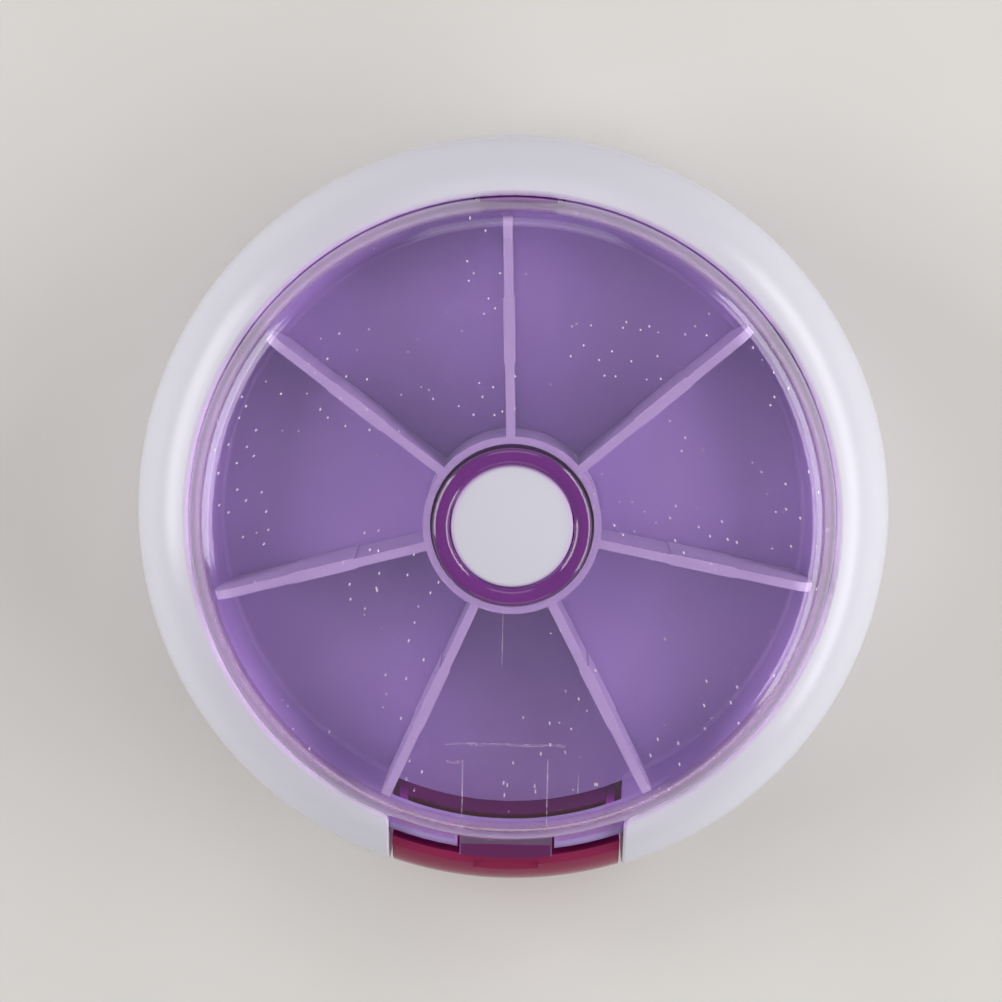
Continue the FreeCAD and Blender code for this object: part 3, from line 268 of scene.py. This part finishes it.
def dyed_plastic(name, colour, dye, lamp_tint, rough, coat=(1.0, 0.09), inner_colour=None):
    """Translucent purple plastic that scatters a fixed share of its light, in another colour on the scoop."""
    material, glass = clear_plastic(name, (0.60, 0.05, 0.50), 500.0, lamp_tint, 1.25, rough, 0.0006, coat)
    glass.inputs["Base Color"].default_value = (*colour, 1)
    glass.inputs["Transmission Weight"].default_value = 1 - dye
    if inner_colour is not None:
        skirt = zone(material, radius_of(material), SKIRT_RADIUS, 0.0, 1.0)
        join(material, ramp(material, skirt, [(0.0, inner_colour), (1.0, colour)]), glass.inputs["Base Color"])
    return material


def thin_line(material, along, across, start, end, level, width):
    """Share of a straight fine line on the lid: along runs from start to end, across stays at one level."""
    off = combine(material, "ABSOLUTE", combine(material, "SUBTRACT", across, level * MM))
    return combine(material, "MULTIPLY",
                   zone(material, off, (width / 2, width), 1.0, 0.0),
                   zone(material, along, (start - width, start), 0.0, 1.0),
                   zone(material, along, (end, end + width), 1.0, 0.0))


def lid_dye_and_shade(material):
    """Share that the lid's thick parts scatter: collar, foot, hook, tongue and what hangs below the foot. The
    tongue's share darkens it as painted shade.
    """
    x, y, z = place_of(material)
    radius = radius_of(material)
    side = combine(material, "ABSOLUTE", x)
    foot = combine(material, "MULTIPLY", zone(material, radius, FOOT_RADIUS, 0.0, 1.0),
                   zone(material, y, MIDDLE, FRONT_FOOT_DYE, BACK_FOOT_DYE))
    # Painted shade: the tongue is darkened like the crevice behind it
    tongue = combine(material, "MULTIPLY", zone(material, side, TONGUE_HALF_WIDTH, TONGUE_SHADE, 0.0),
                     zone(material, y, TONGUE_FRONT, 1.0, 0.0))
    hook = combine(material, "MULTIPLY", zone(material, side, HOOK_HALF_WIDTH, HOOK_DYE, 0.0),
                   zone(material, y, HOOK_BACK, 0.0, 1.0))
    return combine(material, "MAXIMUM", zone(material, radius, COLLAR_RADIUS, COLLAR_DYE, 0.0), foot,
                   zone(material, z, FOOT_LEVEL, SNAP_DYE, 0.0), tongue, hook)


def lid_dust_and_highlight(material):
    """Whitened share of the lid's surface: specks of dust, fine lines, and a painted highlight band on the
    shoulder.
    """
    x, y, z = place_of(material)
    radius = radius_of(material)
    place = add(material, "ShaderNodeTexCoord")
    cells = add(material, "ShaderNodeTexVoronoi", voronoi_dimensions="2D", Scale=1 / (2.6 * MM))
    join(material, place.outputs["Object"], cells.inputs["Vector"])
    specks = combine(material, "MULTIPLY", between(material, cells.outputs["Distance"], 0.02, 0.05, DUST, 0.0),
                     between(material, noise(material, 9.0, 2.0), 0.52, 0.56, 0.0, 1.0))
    lines = [thin_line(material, (x, y)[along], (x, y)[across], *rest) for along, across, *rest in MARKS]
    dots = between(material, noise(material, 0.45, 1.0), 0.45, 0.58, 0.15, 1.0)
    scratches = combine(material, "MULTIPLY", combine(material, "MAXIMUM", *lines), dots, SCRATCH)
    # Painted highlight: a whitened band on the shoulder that stops at the foot
    painted_highlight = combine(material, "MULTIPLY", zone(material, radius, SHOULDER_HIGHLIGHT_RADIUS, 0.0, SHOULDER_HIGHLIGHT),
                   zone(material, radius, FOOT_RADIUS, 1.0, 0.0))
    return combine(material, "MAXIMUM", painted_highlight, specks, scratches)


def lid_plastic(name, colour, tongue_shade):
    """The lid's plastic: clear, with thick parts of deeper colour. The tongue's dark colour is painted shade
    of the crevice behind it.
    """
    material, glass = clear_plastic(name, (0.81, 0.58, 0.865), 260.0, (0.94, 0.90, 0.95), 1.2, (0.02, 0.06),
                                    0.0002, (1.0, 0.09), blur=True)
    dye_and_shade = lid_dye_and_shade(material)
    # The last stop is the tongue's painted shade
    stops = [(0.02, (1, 1, 1)), (0.35, colour), (0.65, colour), (0.75, tongue_shade)]
    join(material, ramp(material, dye_and_shade, stops), glass.inputs["Base Color"])
    # The whitened share includes the painted highlight band on the shoulder
    veil = combine(material, "MAXIMUM", dye_and_shade, lid_dust_and_highlight(material))
    join(material, combine(material, "SUBTRACT", 1.0, veil), glass.inputs["Transmission Weight"])
    return material


def brushed_steel(name):
    material = new_material(name)
    shader = add(material, "ShaderNodeBsdfPrincipled", Metallic=1.0, IOR=2.0)
    flow = noise(material, 1.5, 4.0, 0.6)
    join(material, ramp(material, flow, [(0.3, (0.42, 0.42, 0.44)), (0.7, (0.6, 0.6, 0.62))]),
         shader.inputs["Base Color"])
    join(material, ramp(material, noise(material, 0.4, 3.0), [(0.3, 0.22), (0.7, 0.42)]),
         shader.inputs["Roughness"])
    join(material, bump(material, noise(material, 0.25, 2.0), 0.004), shader.inputs["Normal"])
    return finish_material(material, shader.outputs["BSDF"])


def pale_table(name):
    material = new_material(name)
    shader = add(material, "ShaderNodeBsdfPrincipled", IOR=1.4, Roughness=0.75)
    flow = noise(material, 60.0, 3.0, 0.5)
    join(material, ramp(material, flow, [(0.3, (0.70, 0.68, 0.65)), (0.7, (0.74, 0.72, 0.69))]),
         shader.inputs["Base Color"])
    return finish_material(material, shader.outputs["BSDF"])


WHITE = moulded_plastic("white_gloss", (0.67, 0.66, 0.735), (0.66, 0.65, 0.725), (0.25, 0.27))
LAVENDER = moulded_plastic("lavender_satin", (0.43, 0.375, 0.55), (0.41, 0.355, 0.53), (0.34, 0.42),
                           scuffs=True)
# The bowl is darker than the wheel: partly its own colour, partly painted shade of the deep compartment floors
BOWL = moulded_plastic("bowl_lavender", (0.38, 0.285, 0.56), (0.36, 0.265, 0.535), (0.34, 0.42))
NYLON = moulded_plastic("natural_nylon", (0.72, 0.70, 0.64), (0.68, 0.66, 0.60), (0.45, 0.6),
                        subsurface=0.3, grain=0.002)
# The second colour is the tongue's painted shade
VIOLET = lid_plastic("lid_violet", (0.34, 0.06, 0.44), (0.13, 0.014, 0.10))
PURPLE = dyed_plastic("base_purple", (0.52, 0.065, 0.56), 0.8, (0.85, 0.62, 0.85), (0.04, 0.1))
PLUM = dyed_plastic("flap_plum", (0.29, 0.025, 0.085), 0.88, (0.85, 0.5, 0.8), (0.10, 0.16), coat=(0.1, 0.2),
                    inner_colour=(0.88, 0.13, 1.0))
STEEL = brushed_steel("spring_steel")
TABLE = pale_table("pale_table")

FINISHES = {
    "base_shell": PURPLE,
    "inner_bowl": BOWL,
    "bezel_ring": WHITE,
    "lid": VIOLET,
    "vane_wheel": LAVENDER,
    "cam_ring": NYLON,
    "cam_sleeve": NYLON,
    "button_cap": WHITE,
    "retaining_clip": STEEL,
    "index_star": NYLON,
    "index_spring": STEEL,
    "outlet_flap": PLUM,
    "return_spring": STEEL,
}
for node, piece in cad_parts.items():
    piece.data.materials.clear()
    piece.data.materials.append(FINISHES[node])


# Floor, light and camera

def make_floor(reach):
    mesh = bpy.data.meshes.new("table")
    mesh.from_pydata([(-reach, -reach, 0), (reach, -reach, 0), (reach, reach, 0), (-reach, reach, 0)], [],
                     [(0, 1, 2, 3)])
    floor = bpy.data.objects.new("table", mesh)
    bpy.context.scene.collection.objects.link(floor)
    mesh.materials.append(TABLE)


def make_world(colour, strength):
    world = bpy.data.worlds.new("studio")
    bpy.context.scene.world = world
    world.use_nodes = True
    background = world.node_tree.nodes["Background"]
    background.inputs["Color"].default_value = (*colour, 1)
    background.inputs["Strength"].default_value = strength


def softbox(name, place, width, height, radiance):
    """Soft lamp that faces the object."""
    lamp = bpy.data.lights.new(name, "AREA")
    lamp.shape = "RECTANGLE"
    lamp.size = width
    lamp.size_y = height
    lamp.energy = radiance * math.pi * width * height
    holder = bpy.data.objects.new(name, lamp)
    bpy.context.scene.collection.objects.link(holder)
    holder.location = place
    holder.rotation_mode = "QUATERNION"
    holder.rotation_quaternion = (LAMP_TARGET - Vector(place)).to_track_quat("-Z", "Y")


def make_camera():
    """The photograph's camera: almost straight above, leaning to the back, with a slight roll."""
    roll = math.radians(CAMERA_ROLL)
    back = Vector(CAMERA_BACK).normalized()
    right = Vector((math.cos(roll), math.sin(roll), 0))
    right = (right - back * right.dot(back)).normalized()
    up = back.cross(right)
    data = bpy.data.cameras.new("camera")
    data.sensor_width = SENSOR_WIDTH
    data.lens = FOCAL_PIXELS / IMAGE_PIXELS * SENSOR_WIDTH
    data.clip_start = 0.01
    data.clip_end = 50
    camera = bpy.data.objects.new("camera", data)
    bpy.context.scene.collection.objects.link(camera)
    turn = Matrix((right, up, back)).transposed()
    eye = Vector(CAMERA_TARGET) * MM + back * (CAMERA_DISTANCE * MM)
    camera.matrix_world = Matrix.Translation(eye) @ turn.to_4x4()
    bpy.context.scene.camera = camera


make_floor(TABLE_REACH)
make_world(WORLD_COLOUR, WORLD_STRENGTH)
for lamp_name, lamp_values in LAMPS.items():
    softbox(lamp_name, *lamp_values)
make_camera()
bpy.context.scene.view_settings.view_transform = "Standard"
